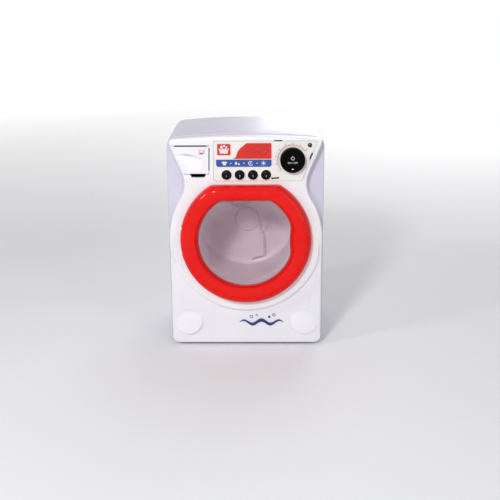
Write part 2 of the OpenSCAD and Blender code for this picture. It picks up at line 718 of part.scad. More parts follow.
module control_board() {
    color("darkgreen")
    difference() {
        union() {
            slab([[board_left, button_z + 18], [34, button_z + 18], [34, panel_top],
                [led_x + 6, panel_top], [led_x + 6, panel_top - 11], [led_x - 6, knob_z - 1],
                [led_x - 10, button_z - 6], [board_left, button_z - 6]], board_y, board_y + board_t);
            // Sound chip and a capacitor on the back
            translate([-4, board_y + board_t - 0.1, button_z + 1]) cube([12, 2.1, 8]);
            rod(22, button_z + 6, 3, board_y + board_t - 0.1, board_y + board_t + 7);
        }
        for (p = board_posts) rod(p[0], p[1], 1.1, board_y - 1, board_y + board_t + 1);
    }
}

module selector_knob() {
    r = knob_dia / 2;
    top = knob_y - 8;
    color("black")
    difference() {
        turned(knob_x, knob_z, [[0, top + 0.5], [r - 3.4, top + 0.5], [r - 2.8, top], [r - 1.4, top],
            [r - 0.5, top + 0.5], [r - 0.1, top + 1.5], [r, knob_y], [r - 1.6, knob_y], [r - 1.8, top + 2.4],
            [5.4, top + 2.4], [5.4, knob_y], [0, knob_y]]);
        rod(knob_x, knob_z, knob_shaft_r, top + 3, knob_y + 1);
        // Pointer notch in the rim
        translate([knob_x - 0.7, top - 1, knob_z + r - 2.6]) cube([1.4, 2.2, 4]);
    }
}
knob_shaft_r = 3;
switch_h = 6.4;
module knob_shaft() {
    color("silver")
    rod(knob_x, knob_z, knob_shaft_r, knob_y - 4.8, board_y - 1.4);
}
module rotary_switch() {
    color("steelblue")
    difference() {
        union() {
            slab(rounded([for (c = [[-1, 1], [1, 1], [1, -1], [-1, -1]]) [knob_x, knob_z] + 7.2 * c], 1.2),
                board_y - switch_h, board_y);
            rod(knob_x, knob_z, 4.6, board_y - switch_h - 3, board_y - switch_h + 0.5);
        }
        rod(knob_x, knob_z, knob_shaft_r + 0.06, board_y - switch_h - 4, board_y - 0.9);
    }
}
module indicator_led() {
    r = led_dia / 2;
    color("darkred")
    union() {
        turned(led_x, led_z, concat([[0, panel_y - 2.6]],
            [for (a = [15 : 15 : 90]) [r * sin(a), panel_y - 2.6 + r * (1 - cos(a))]],
            [[r, panel_seat_y + 0.1], [r + 0.45, panel_seat_y + 0.1], [r + 0.45, panel_seat_y + 1.1],
             [0, panel_seat_y + 1.1]]));
        for (x = [-1.5, 1]) translate([led_x + x, panel_seat_y + 1, led_z - 0.25])
            cube([0.5, board_y - panel_seat_y - 1, 0.5]);
    }
}

module speaker() {
    r = speaker_dia / 2;
    color("dimgray")
    turned(0, speaker_z, [[0, back_in_y - speaker_h], [r * 0.5, back_in_y - speaker_h],
        [r * 0.5, back_in_y - speaker_h + 2.6], [r * 0.72, back_in_y - speaker_h + 3],
        [r * 0.94, back_in_y - 2], [r, back_in_y - 2], [r, back_in_y], [r * 0.86, back_in_y],
        [r * 0.42, back_in_y - 2.4], [0, back_in_y - 1.2]]);
}

module drum() {
    r = drum_r;
    color("gainsboro")
    difference() {
        turned(0, door_z, [
            [0, drum_back_out], [0, drum_back_in], [r - 7, drum_back_in], [r - 3.4, drum_back_in - 0.9],
            [r - 1, drum_back_in - 3], [r, drum_back_in - 6.5], [r, drum_front_y + 2],
            [r - 0.8, drum_front_y + 0.6], [r + 0.2, drum_front_y], [r + drum_wall + 0.8, drum_front_y],
            [r + drum_wall + 0.8, drum_front_y + 2], [r + drum_wall, drum_front_y + 2.4],
            [r + drum_wall, drum_back_in - 5], [r + drum_wall - 2, drum_back_out - 2.4],
            [r - 2.4, drum_back_out], [9, drum_back_out], [8, drum_back_out + 1.8],
            [0, drum_back_out + 1.8]]);
        rod(0, door_z, shaft_r, drum_back_in - 1, drum_back_out + 3);
        // Rings of small pits in the back
        for (ring = [0 : pit_rings - 1], k = [0 : pit_count - 1]) let (
            r = pit_first_r + ring * pit_step,
            a = (k + (ring % 2) / 2) * 360 / pit_count
        ) rod(r * cos(a), door_z + r * sin(a), pit_r, drum_back_in - 1, drum_back_in + pit_depth);
    }
}
pit_rings = 4;
pit_count = 24;
pit_first_r = 30;
pit_step = 6.6;
pit_r = 0.9;
pit_depth = 0.7;

// Three-armed agitator; a tapered arm and the arc that joins its flank to the next arm
arm_len = drum_r - 7.5;
arm_end = 9.8;
arm_taper = 7;
arm_fillet = 20;
arm_angles = [-75, 45, 165];
function star(inset) = let (
    end_w = arm_end - inset,
    reach = arm_len - inset,
    fr = arm_fillet + inset,
    gap = (fr / cos(arm_taper) + end_w + reach * tan(arm_taper)) / (sin(60) + cos(60) * tan(arm_taper))
) [for (a = arm_angles) each concat(
    [for (k = [-1 : 0.5 : 1]) let (e = 90 * k) [
        (reach - 2) * cos(a) - (end_w - 2) * sign(k) * sin(a) + 2 * cos(a + e) * (k == 0 ? 0.6 : 1),
        (reach - 2) * sin(a) + (end_w - 2) * sign(k) * cos(a) + 2 * sin(a + e) * (k == 0 ? 0.6 : 1)]],
    [for (t = [1 : -0.125 : -1]) let (e = a + 60 + 180 + (60 - arm_taper + 30) * t * 0.62)
        [gap * cos(a + 60) + fr * cos(e), gap * sin(a + 60) + fr * sin(e)]]
)];
module star_slab(inset, y0, y1) {
    slab([for (p = star(inset)) p + drum_pos], y0, y1);
}
agitator_h = 7;
agitator_disc_r = 27.5;
agitator_disc_t = 2.8;
module agitator() {
    color("gainsboro")
    difference() {
        union() {
            rod(0, door_z, agitator_disc_r, drum_back_in - agitator_disc_t, drum_back_in);
            star_slab(0, drum_back_in - agitator_h + 2.4, drum_back_in);
            star_slab(1.6, drum_back_in - agitator_h, drum_back_in - agitator_h + 3);
        }
        rod(0, door_z, shaft_r, drum_back_in - agitator_h - 1, drum_back_in + 1);
    }
}
hub_r = 15.6;
module hub_cap() {
    r = hub_r;
    y = drum_back_in - agitator_h;
    color("gainsboro")
    difference() {
        turned(0, door_z, [[0, y - 4.6], [r * 0.5, y - 4.4], [r * 0.84, y - 3.5], [r * 0.96, y - 2.4],
            [r, y - 1], [r, y], [0, y]]);
        rod(0, door_z, shaft_r, y - 2, y + 1);
    }
}
module drum_shaft() {
    color("silver")
    rod(0, door_z, shaft_r, drum_back_in - agitator_h - 1.6, cover_y + cover_t - 0.2);
}
module drum_bush() {
    bore = shaft_r + shaft_fit;
    color("goldenrod")
    turned(0, door_z, [[bore, bracket_y - 0.8], [bush_r + 1.4, bracket_y - 0.8], [bush_r + 1.4, bracket_y],
        [bush_r, bracket_y], [bush_r, bracket_end + 0.6], [bore, bracket_end + 0.6]]);
}

cover_posts = [
    drum_pos + 27.6 * [cos(train_angle + 145), sin(train_angle + 145)],
    drum_pos + 27.6 * [cos(train_angle - 145), sin(train_angle - 145)],
    reduction_pos + 22 * [cos(train_angle - 72), sin(train_angle - 72)],
    reduction_pos + 22 * [cos(train_angle + 72), sin(train_angle + 72)]
];
mount_posts = [for (s = [-1, 1]) motor_pos + train_dir * 8.6 + train_side * 10.4 * s];
module drum_bracket() {
    color("white")
    difference() {
        union() {
            translate([0, bracket_end, 0]) rotate([90, 0, 0]) linear_extrude(bracket_t) difference() {
                union() {
                    translate(drum_pos) circle(r = 33);
                    translate(reduction_pos) circle(r = 25);
                    translate(motor_pos + train_dir * 4) circle(r = 17);
                    for (p = bracket_posts) let (v = p - drum_pos) {
                        translate(p) circle(r = 7);
                        translate(drum_pos) rotate(atan2(v[1], v[0]))
                            translate([0, -6]) square([norm(v), 12]);
                    }
                }
                for (p = bracket_posts) translate(p) circle(r = 1.6);
                for (a = [0 : 60 : 300]) translate(drum_pos + 22 * [cos(a), sin(a)]) circle(r = 6);
            }
            for (p = cover_posts) rod(p[0], p[1], 3, bracket_end - 0.5, cover_y);
            for (p = mount_posts) rod(p[0], p[1], 2.6, bracket_end - 0.5, mount_y);
            rod(reduction_pos[0], reduction_pos[1], 4, bracket_y, large_y - 0.3);
            rod(0, door_z, bush_r + 2.6, bracket_y, bracket_end);
        }
        rod(0, door_z, bush_r, bracket_y - 1, bracket_end + 1);
        rod(reduction_pos[0], reduction_pos[1], train_pin_r, bracket_y + 0.6, large_y + 1);
        for (p = cover_posts) rod(p[0], p[1], 0.9, bracket_end + 1, cover_y + 1);
        for (p = mount_posts) rod(p[0], p[1], 0.9, bracket_y + 1, mount_y + 1);
    }
}

// Involute gear: its own tooth count, a phase in degrees, and a little less than half a pitch of tooth
pressure = 25;
addendum = 0.9;
dedendum = 1.15;
backlash = 0.2;
function involute(a) = tan(a) * 180 / PI - a;
function tooth_half(n, rho) = let (
    r = n * gear_module / 2,
    base = r * cos(pressure),
    a = acos(min(1, base / rho))
) (PI * gear_module / 2 - backlash / 2) / (2 * r) * 180 / PI + involute(pressure) - involute(a);
function gear_points(n, phase) = let (
    r = n * gear_module / 2,
    low = max(r * cos(pressure) + 0.02, r - 0.9 * gear_module),
    high = r + addendum * gear_module,
    radii = [low, mix(low, high, 0.35), mix(low, high, 0.7), high],
    root = r - dedendum * gear_module
) [for (k = [0 : n - 1]) let (c = phase + 360 * k / n, h = tooth_half(n, low) * 1.05) each concat(
    [root * [cos(c - h), sin(c - h)]],
    [for (q = radii) q * [cos(c - tooth_half(n, q)), sin(c - tooth_half(n, q))]],
    [for (i = [3 : -1 : 0]) let (q = radii[i]) q * [cos(c + tooth_half(n, q)), sin(c + tooth_half(n, q))]],
    [root * [cos(c + h), sin(c + h)]]
)];
module gear(n, phase, pos, y0, y1) {
    slab([for (p = gear_points(n, phase)) p + pos], y0, y1);
}
module drum_gear() {
    r = drum_teeth * gear_module / 2;
    y1 = drum_gear_y + drum_gear_t;
    color("white")
    difference() {
        gear(drum_teeth, train_angle, drum_pos, drum_gear_y, y1);
        difference() {
            rod(0, door_z, r - 4, drum_gear_y + 2.4, y1 + 1);
            rod(0, door_z, shaft_r + 3, drum_gear_y, y1 + 2);
        }
        for (a = [0 : 60 : 300])
            rod(r * 0.52 * cos(a), door_z + r * 0.52 * sin(a), 3, drum_gear_y - 1, y1 + 1);
        rod(0, door_z, shaft_r, drum_gear_y - 1, y1 + 1);
    }
}
module reduction_gear() {
    color("white")
    difference() {
        union() {
            gear(large_teeth, train_angle, reduction_pos, large_y, large_y + large_t);
            gear(small_teeth, train_angle + 180 + 180 / small_teeth, reduction_pos,
                large_y + large_t - 0.5, large_y + large_t + small_t);
        }
        rod(reduction_pos[0], reduction_pos[1], train_pin_r + shaft_fit, large_y - 1,
            large_y + large_t + small_t + 1);
    }
}
module reduction_pin() {
    color("silver")
    rod(reduction_pos[0], reduction_pos[1], train_pin_r, bracket_y + 0.6, cover_y + cover_t);
}
module gear_cover() {
    color("white")
    difference() {
        slab(rounded(grown(cover_posts, 5.5), 5.5), cover_y, cover_y + cover_t);
        rod(0, door_z, shaft_r + shaft_fit, cover_y - 1, cover_y + cover_t + 1);
        rod(reduction_pos[0], reduction_pos[1], train_pin_r, cover_y - 1, cover_y + cover_t + 1);
        for (p = cover_posts) rod(p[0], p[1], 1.3, cover_y - 1, cover_y + cover_t + 1);
    }
}
motor_r = 10;
motor_flat = 7.5;
module motor_mount() {
    color("silver")
    difference() {
        slab(rounded([for (c = [[12.6, -13.4], [12.6, 13.4], [-10.5, 10], [-10.5, -10]])
            motor_pos + train_dir * c[0] + train_side * c[1]], 2.5), mount_y, mount_y + mount_t);
        rod(motor_pos[0], motor_pos[1], 3.1, mount_y - 1, mount_y + mount_t + 1);
        for (p = mount_posts) rod(p[0], p[1], 1.2, mount_y - 1, mount_y + mount_t + 1);
    }
}
module motor() {
    y1 = motor_y + motor_len;
    color("silver")
    difference() {
        union() {
            translate([motor_pos[0], y1 - 2.4, motor_pos[1]]) rotate([90, 0, 0])
                linear_extrude(motor_len - 2.4) rotate(train_angle) motor_section(0);
            translate([motor_pos[0], y1, motor_pos[1]]) rotate([90, 0, 0])
                linear_extrude(3) rotate(train_angle) motor_section(0.6);
            rod(motor_pos[0], motor_pos[1], 3, mount_y - 0.1, motor_y + 1);
        }
        rod(motor_pos[0], motor_pos[1], motor_shaft_r + 0.05, mount_y - 1, motor_y + 9);
    }
}
motor_shaft_r = 1;
module motor_section(inset) {
    intersection() {
        circle(r = motor_r - inset);
        square([2 * (motor_flat - inset), 2 * motor_r], center = true);
    }
}
module motor_shaft() {
    color("silver")
    rod(motor_pos[0], motor_pos[1], motor_shaft_r, large_y - 0.4, motor_y + 8);
}
module motor_pinion() {
    color("goldenrod")
    difference() {
        gear(pinion_teeth, train_angle + 180 + 180 / pinion_teeth, motor_pos,
            large_y - 0.2, large_y + large_t + 0.3);
        rod(motor_pos[0], motor_pos[1], motor_shaft_r, large_y - 1, large_y + large_t + 1);
    }
}

// Door outlines: a circle with a flat top and a rounded corner between them; the window also has
// the grip's bulge on the free side. Angles run from the top, clockwise seen from the front.
half_angles = [each [0 : 6 : 24], each [26 : 2 : 40], each [44 : 4 : 180]];
lid_angles = concat([for (a = half_angles) a],
    [for (i = [len(half_angles) - 2 : -1 : 1]) 360 - half_angles[i]]);
ring_corner = 10;
pane_corner = 9;
bulge_half = 24;
function lid_r(a, radius, flat, corner) = let (
    c = radius - corner,
    xc = sqrt(c * c - pow(flat - corner, 2)),
    a_flat = atan2(xc, flat),
    a_round = atan2(xc, flat - corner)
) a <= a_flat ? flat / cos(a)
    : a < a_round ? c * cos(a - a_round) + sqrt(corner * corner - pow(c * sin(a - a_round), 2))
    : radius;
function bulge(a) = abs(a - 90) < bulge_half ? pane_bulge * pow(cos((a - 90) * 90 / bulge_half), 2) : 0;
function lid_half(a) = a > 180 ? 360 - a : a;
function ring_at(a) = lid_r(lid_half(a), ring_r, ring_flat, ring_corner);
function pane_at(a) = lid_r(lid_half(a), pane_r, pane_flat, pane_corner) - bulge(a);
function lid_loop(from_ring, from_pane) = [for (a = lid_angles) let (
    r = from_pane == undef ? ring_at(a) - from_ring : pane_at(a) + from_pane
) [r * sin(a), door_z + r * cos(a)]];
ring_back_y = front_y - 0.6;
crest_y = front_y - ring_rise;
pane_seat_y = front_y - 6;

module ring_skin() {
    outside = [[0, ring_back_y], [0, front_y - 5.5], [0.7, crest_y + 5.4], [2.8, crest_y + 2.5],
        [6.2, crest_y + 0.6], [9.6, crest_y]];
    lip = [[3.8, crest_y + 1.2], [1.7, crest_y + 3.2], [0.2, crest_y + 6], [0, pane_seat_y]];
    under = [[3.2, pane_seat_y], [3.2, crest_y + 4.4]];
    inner = crest_y + ring_wall;
    back = [[9.2, inner], [6.8, inner + 0.5], [4, inner + 2.2], [2.6, inner + 4.8],
        [ring_wall, front_y - 5], [ring_wall, ring_back_y]];
    skin(concat(
        [for (p = outside) at_y(lid_loop(p[0], undef), p[1])],
        [for (p = lip) at_y(lid_loop(0, p[0]), p[1])],
        [for (p = under) at_y(lid_loop(0, p[0]), p[1])],
        [for (p = back) at_y(lid_loop(p[0], undef), p[1])]
    ), closed_stack = true);
}
door_screw_angles = [28, 150, 205, 332, 62];
door_screw_r = ring_r - ring_band / 2;
function door_screw_at(a) = let (
    r = a < 40 || a > 320 ? (ring_flat + pane_flat) / 2 / cos(a) : door_screw_r
) [r * sin(a), door_z + r * cos(a)];
inner_ring_t = 2;
pane_flange_y = pane_seat_y + pane_t;
module door_ring() {
    color("red")
    difference() {
        union() {
            ring_skin();
            for (a = door_screw_angles) let (p = door_screw_at(a))
                rod(p[0], p[1], 2.3, crest_y + 1.2, pane_flange_y);
            // Ribs that carry the hinge pins
            for (side = [-1, 1], k = [-1, 1]) let (
                z = door_z + side * ear_gap + k * (ear_t / 2 + fit + rib_t / 2)
            )
                translate([0, 0, z - rib_t / 2]) linear_extrude(rib_t) polygon([
                    [hinge_x - 2, hinge_y + 2.8], [hinge_x - 2, hinge_y - 1.6],
                    [hinge_x + 0.6, hinge_y - 4.6], [hinge_x + 4, hinge_y - 6.4],
                    [hinge_x + 9, hinge_y - 7], [hinge_x + 9, hinge_y + 2.8]]);
        }
        for (a = door_screw_angles) let (p = door_screw_at(a))
            rod(p[0], p[1], 0.8, crest_y + 3, pane_flange_y + 1);
        for (side = [-1, 1]) translate([hinge_x, hinge_y, door_z + side * ear_gap - pin_len / 2])
            cylinder(d = pin_dia, h = pin_len);
        // Room for the ears as the door swings, and a relief behind the hinge side
        for (side = [-1, 1]) translate([0, 0, door_z + side * ear_gap - ear_t / 2 - fit]) {
            translate([-ring_r - 3, hinge_y - ear_r - fit, 0])
                cube([ring_r + 3 + hinge_x + ear_r + fit, 12, ear_t + 2 * fit]);
            translate([hinge_x, hinge_y, 0]) cylinder(r = ear_r + fit, h = ear_t + 2 * fit);
        }
        translate([-ring_r - 3, hinge_y + hinge_relief, door_z - relief_half])
            cube([ring_r + 4 + hinge_x, 6, 2 * relief_half]);
    }
}
hinge_relief = 3.2;
relief_half = 34;
pin_len = ear_t + 2 * fit + 2 * rib_t;
module door_window() {
    color("lightblue", 0.35)
    union() {
        // Flange in the ring's seat and the dome in front of it
        difference() {
            slab(lid_loop(0, 2.8), pane_seat_y, pane_flange_y);
            slab(lid_loop(0, -2.4), pane_seat_y - 1, pane_flange_y + 1);
        }
        intersection() {
            slab(lid_loop(0, -0.4), pane_seat_y - 12, pane_flange_y);
            turned(0, door_z, concat(
                [for (t = [0 : 0.1 : 1]) [(pane_r + 3) * t, pane_seat_y - pane_dome * (1 - t * t)]],
                [for (t = [1 : -0.1 : 0]) [(pane_r + 3) * t, pane_flange_y - pane_dome * (1 - t * t)]]));
        }
    }
}
module door_inner_ring() {
    y1 = pane_flange_y + inner_ring_t;
    color("white")
    difference() {
        union() {
            difference() {
                slab(lid_loop(ring_wall + fit, undef), pane_flange_y, y1);
                slab(lid_loop(0, -0.6), pane_flange_y - 1, y1 + 1);
                translate([-ring_r - 2, pane_flange_y - 1, door_z - relief_half])
                    cube([ring_r + 2 + hinge_x + 9.6, 8, 2 * relief_half]);
            }
            // Catch tongue
            translate([catch_x, pane_flange_y, door_z - catch_w / 2])
                cube([catch_t, front_y + 4 - pane_flange_y, catch_w]);
        }
        for (a = door_screw_angles) let (p = door_screw_at(a))
            rod(p[0], p[1], 1.1, pane_flange_y - 1, y1 + 1);
    }
}
module door_hinge_pins() {
    color("silver")
    for (side = [-1, 1]) translate([hinge_x, hinge_y, door_z + side * ear_gap - pin_len / 2])
        cylinder(d = pin_dia, h = pin_len);
}

module battery_box() {
    h = bay_h / 2;
    color("gainsboro")
    difference() {
        translate([-bay_w / 2 - bay_wall, bay_y - bay_wall, bay_z - h - bay_wall])
            cube([bay_w + 2 * bay_wall, back_in_y - bay_y + bay_wall, bay_h + 2 * bay_wall]);
        difference() {
            translate([-bay_w / 2, bay_y, bay_z - h]) cube([bay_w, back_in_y - bay_y + 1, bay_h]);
            // Saddles between the cells
            for (k = [-1, 1], x = [-14, 14]) translate([x - 1, bay_y - 1, bay_z + k * cell_pitch / 2 - 1.4])
                cube([2, 3.6, 2.8]);
        }
    }
}
cell_y = bay_y + cell_dia / 2 + 0.2;
module batteries() {
    color("darkorange")
    for (k = [-1 : 1]) translate([0, cell_y, bay_z + k * cell_pitch]) rotate([0, k == 0 ? -90 : 90, 0])
        rotate_extrude() polygon([[0, -cell_len / 2], [cell_dia / 2 - 0.6, -cell_len / 2],
            [cell_dia / 2, -cell_len / 2 + 0.6], [cell_dia / 2, cell_len / 2 - 1.8],
            [cell_dia / 2 - 0.6, cell_len / 2 - 1.2], [2.7, cell_len / 2 - 1.2],
            [2.7, cell_len / 2], [0, cell_len / 2]]);
}
module battery_contacts() {
    t = 0.4;
    color("silver")
    for (side = [-1, 1], k = [-1 : 1]) {
        x = side * (bay_w / 2 - t / 2);
        translate([x - t / 2, cell_y - 4.5, bay_z + k * cell_pitch - 4.5]) cube([t, 9, 9]);
        translate([side * (cell_len / 2 + 0.1 + (bay_w - cell_len) / 4), cell_y, bay_z + k * cell_pitch])
            rotate([0, 90, 0]) cylinder(r = 2, h = (bay_w - cell_len) / 2 - 0.2 - t / 2, center = true);
    }
}
cover_hole_z = bay_z + bay_h / 2 + cover_border - 2.1;
module battery_cover() {
    color("lavender")
    difference() {
        union() {
            slab(rounded(bay_frame(cover_border - 0.3), 2.7), back_y - battery_cover_t, back_y);
            difference() {
                slab(bay_frame(-0.5), back_y - battery_cover_t - 1.6, back_y - battery_cover_t + 0.5);
                slab(bay_frame(-1.9), back_y - battery_cover_t - 2, back_y - battery_cover_t);
            }
        }
        // Grip grooves
        for (k = [-2 : 2]) translate([-14, back_y - 0.5, bay_z + 12 + k * 2.4]) cube([28, 1, 0.9]);
        rod(0, cover_hole_z, 1, back_y - battery_cover_t - 3, back_y + 2);
        rod(0, cover_hole_z, 1.7, back_y - 0.7, back_y + 2);
    }
}
module battery_cover_screw() {
    color("silver")
    screw(0, cover_hole_z, 1.5, 0.6, 0.9, 1.9, back_y - 0.7, 1);
}
module housing_screws() {
    color("silver")
    for (p = housing_posts) screw(p[0], p[1], 2.9, 2, pilot_r, tower_floor + 8, seam_y + tower_floor, 1);
}
module door_screws() {
    color("silver")
    for (a = door_screw_angles) let (p = door_screw_at(a))
        screw(p[0], p[1], 1.9, 1.1, 0.8, 6, pane_flange_y + inner_ring_t, 1);
}
module board_screws() {
    color("silver")
    for (p = board_posts) screw(p[0], p[1], 2, 1.2, 0.8, board_t + 4, board_y + board_t, 1);
}
module gearbox_screws() {
    color("silver")
    union() {
        for (p = bracket_posts) screw(p[0], p[1], 3, 1.8, pilot_r, bracket_t + 9, bracket_y, -1);
        for (p = cover_posts) screw(p[0], p[1], 2.2, 1.3, 0.9, cover_t + 7, cover_y + cover_t, 1);
        for (p = mount_posts) screw(p[0], p[1], 2.2, 1.3, 0.9, mount_t + 5, mount_y + mount_t, 1);
    }
}

front_shell();
rear_shell();
feet();
control_panel();
detergent_drawer();
drawer_housing();
button_1();
button_2();
button_3();
button_4();
button_pad();
control_board();
selector_knob();
knob_shaft();
rotary_switch();
indicator_led();
speaker();
drum();
agitator();
hub_cap();
drum_shaft();
drum_bush();
drum_bracket();
drum_gear();
reduction_gear();
reduction_pin();
gear_cover();
motor_mount();
motor();
motor_shaft();
motor_pinion();
door_ring();
door_window();
door_inner_ring();
door_hinge_pins();
battery_box();
batteries();
battery_contacts();
battery_cover();
battery_cover_screw();
housing_screws();
door_screws();
board_screws();
gearbox_screws();
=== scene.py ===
import math
import random
import bpy
from mathutils import Matrix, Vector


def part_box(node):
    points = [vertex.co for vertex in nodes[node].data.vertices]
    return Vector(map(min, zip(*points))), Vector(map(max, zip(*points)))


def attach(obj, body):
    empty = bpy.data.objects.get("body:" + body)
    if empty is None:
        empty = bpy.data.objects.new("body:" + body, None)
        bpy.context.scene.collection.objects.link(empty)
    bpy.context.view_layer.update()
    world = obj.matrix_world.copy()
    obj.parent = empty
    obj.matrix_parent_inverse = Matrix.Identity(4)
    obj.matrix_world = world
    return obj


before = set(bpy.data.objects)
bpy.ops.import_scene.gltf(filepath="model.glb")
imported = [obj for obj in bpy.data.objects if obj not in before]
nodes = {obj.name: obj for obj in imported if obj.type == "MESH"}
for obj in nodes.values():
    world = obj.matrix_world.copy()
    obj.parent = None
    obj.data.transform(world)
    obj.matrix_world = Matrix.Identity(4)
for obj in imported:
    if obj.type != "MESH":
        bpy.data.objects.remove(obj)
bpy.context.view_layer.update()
mm = 0.001


# Middle, edges and foremost plane of a CAD node in mm, so that the prints sit where the parts are
def face(node):
    low, high = (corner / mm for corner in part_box(node))
    return {"x": (low.x + high.x) / 2, "z": (low.z + high.z) / 2, "y": low.y, "left": low.x, "right": high.x,
            "low": low.z, "top": high.z}


panelFace = face("control_panel")
knobFace = face("selector_knob")
buttonFace = [face("button_%d" % (k + 1)) for k in range(4)]
drawerFace = face("detergent_drawer")
hubFace = face("hub_cap")
frontY = panelFace["y"] + 0.2
lowerY = frontY + 4
print("frame loaded:", len(nodes), "nodes")


# A shader socket that does sums: numbers go through Math, colours and vectors through Vector Math
class Wire:
    def __init__(self, finish, socket):
        self.finish = finish
        self.socket = socket

    def sum(self, operation, first, second):
        plain = all(not isinstance(v, Wire) or v.socket.type == "VALUE" for v in (first, second))
        kind = "ShaderNodeMath" if plain else "ShaderNodeVectorMath"
        return self.finish.node(kind, {"operation": operation}, [first, second])

    def __add__(self, other):
        return self.sum("ADD", self, other)

    def __radd__(self, other):
        return self.sum("ADD", other, self)

    def __sub__(self, other):
        return self.sum("SUBTRACT", self, other)

    def __rsub__(self, other):
        return self.sum("SUBTRACT", other, self)

    def __mul__(self, other):
        return self.sum("MULTIPLY", self, other)

    def __rmul__(self, other):
        return self.sum("MULTIPLY", other, self)


# One material: its fixed values go on the shader's own sockets, and paint() links what varies
class Finish:
    def __init__(self, name, fixed):
        self.material = bpy.data.materials.new(name)
        self.material.use_nodes = True
        self.tree = self.material.node_tree
        self.shader = self.tree.nodes["Principled BSDF"]
        for socket, value in fixed.items():
            self.shader.inputs[socket].default_value = value
        self.place = self.node("ShaderNodeTexCoord", {}, {}, "Object")

    def node(self, kind, settings, inputs, out=0):
        made = self.tree.nodes.new(kind)
        for name, value in settings.items():
            if name == "stops":
                ramp = made.color_ramp
                while len(ramp.elements) < len(value):
                    ramp.elements.new(0.5)
                for element, (at, colour) in zip(ramp.elements, value):
                    element.position = at
                    element.color = colour
            else:
                setattr(made, name, value)
        pairs = enumerate(inputs) if isinstance(inputs, list) else inputs.items()
        for key, value in pairs:
            self.feed(made.inputs[key], value)
        return Wire(self, made.outputs[out])

    def feed(self, socket, value):
        if isinstance(value, Wire):
            self.tree.links.new(value.socket, socket)
        else:
            socket.default_value = value

    def paint(self, socket, value):
        self.feed(self.shader.inputs[socket], value)
        return self

    def noise(self, size, detail=3.0, place=None):
        where = self.place if place is None else place
        values = {"Vector": where, "Scale": 1 / (size * mm), "Detail": detail}
        return self.node("ShaderNodeTexNoise", {}, values, "Fac")

    def ramp(self, value, low, high):
        values = {"Value": value, "From Min": low, "From Max": high}
        return self.node("ShaderNodeMapRange", {"clamp": True}, values)

    def mix(self, share, first, second):
        settings = {"data_type": "RGBA"}
        return self.node("ShaderNodeMix", settings, {0: share, 6: first, 7: second}, 2)

    def bump(self, height, depth, strength=1.0):
        values = {"Height": height, "Distance": depth * mm, "Strength": strength}
        self.paint("Normal", self.node("ShaderNodeBump", {}, values))
        return self


def rgba(colour):
    return (*colour, 1.0)


# Moulded plastic: flow marks in the colour, hazy patches in the gloss, a fine orange peel
def plastic(name, look):
    fixed = {"Coat Weight": look.get("coat", 0.0), "Coat Roughness": 0.05, "IOR": 1.49}
    fixed["Specular IOR Level"] = look.get("spec", 0.5)
    fixed["Subsurface Weight"] = look.get("glow", 0.0)
    fixed["Subsurface Scale"] = 0.002
    finish = Finish(name, fixed)
    flow = finish.noise(look.get("flow", 34), 2.0)
    haze = finish.noise(look.get("haze", 9), 4.0)
    grain = finish.noise(look.get("grain", 0.5), 2.0)
    colour = finish.mix(finish.ramp(flow, 0.35, 0.65), rgba(look["colour"]), rgba(look["shade"]))
    # Faces set back from the front plane (coves, recesses, hood) fade to a darker lavender by depth: partly the body's
    # lavender tint, partly painted shade in the recesses
    if "behind" in look:
        depth = finish.node("ShaderNodeSeparateXYZ", {}, {"Vector": finish.place}, "Y")
        share = finish.ramp(depth, (frontY + look["from"]) * mm, (frontY + look["to"]) * mm)
        colour = finish.mix(share, colour, rgba(look["behind"]))
    finish.paint("Base Color", colour)
    finish.paint("Roughness", look["rough"] + (haze - 0.5) * look.get("spread", 0.12))
    finish.bump(grain, look.get("peel", 0.01), 0.5)
    return finish.material


# Metal that was drawn, turned or plated, with fine lines along one direction
def metal(name, look):
    finish = Finish(name, {"Metallic": 1.0, "IOR": 1.5})
    stretch = finish.node("ShaderNodeMapping", {}, {"Vector": finish.place, "Scale": look["lines"]})
    lines = finish.noise(2.0, 4.0, stretch)
    tarnish = finish.noise(12, 3.0)
    colour = finish.mix(finish.ramp(tarnish, 0.4, 0.7), rgba(look["colour"]), rgba(look["shade"]))
    finish.paint("Base Color", colour)
    finish.paint("Roughness", look["rough"] + (lines - 0.5) * 0.16)
    finish.bump(lines, 0.012, 0.4)
    return finish.material


# Printing ink: an even film with a slightly broken edge of gloss
def ink(name, colour):
    finish = Finish(name, {"IOR": 1.45})
    film = finish.noise(1.4, 3.0)
    darker = tuple(c * 0.9 for c in colour)
    finish.paint("Base Color", finish.mix(finish.ramp(film, 0.3, 0.75), rgba(colour), rgba(darker)))
    finish.paint("Roughness", 0.34 + (film - 0.5) * 0.12)
    return finish.material


# The white shell's set-back colour is painted shade of the coves and recesses over a lavender tint, laid on from 3.5 to
# 11 mm behind the front
shellLook = {"colour": (0.86, 0.855, 0.885), "shade": (0.845, 0.84, 0.87), "rough": 0.34, "coat": 0.1,
             "behind": (0.64, 0.605, 0.72), "from": 3.5, "to": 11.0}
# Rear shell lavender: partly the plastic's own tint, partly painted shade of its upward and side faces
rearLook = {"colour": (0.60, 0.565, 0.68), "shade": (0.58, 0.545, 0.665), "rough": 0.40, "coat": 0.05}
panelLook = {"colour": (0.86, 0.825, 0.79), "shade": (0.845, 0.81, 0.775), "rough": 0.30, "coat": 0.15}
ringLook = {"colour": (0.80, 0.003, 0.0), "shade": (0.76, 0.002, 0.0), "rough": 0.2, "coat": 0.3, "spec": 0.1,
            "haze": 14, "spread": 0.05, "peel": 0.006, "grain": 1.2}
drumLook = {"colour": (0.90, 0.78, 0.83), "shade": (0.86, 0.74, 0.80), "rough": 0.36}
blackLook = {"colour": (0.004, 0.004, 0.005), "shade": (0.006, 0.006, 0.007), "rough": 0.14, "spec": 0.08}
knobLook = {"colour": (0.003, 0.003, 0.003), "shade": (0.004, 0.004, 0.004), "rough": 0.40, "spec": 0.02}
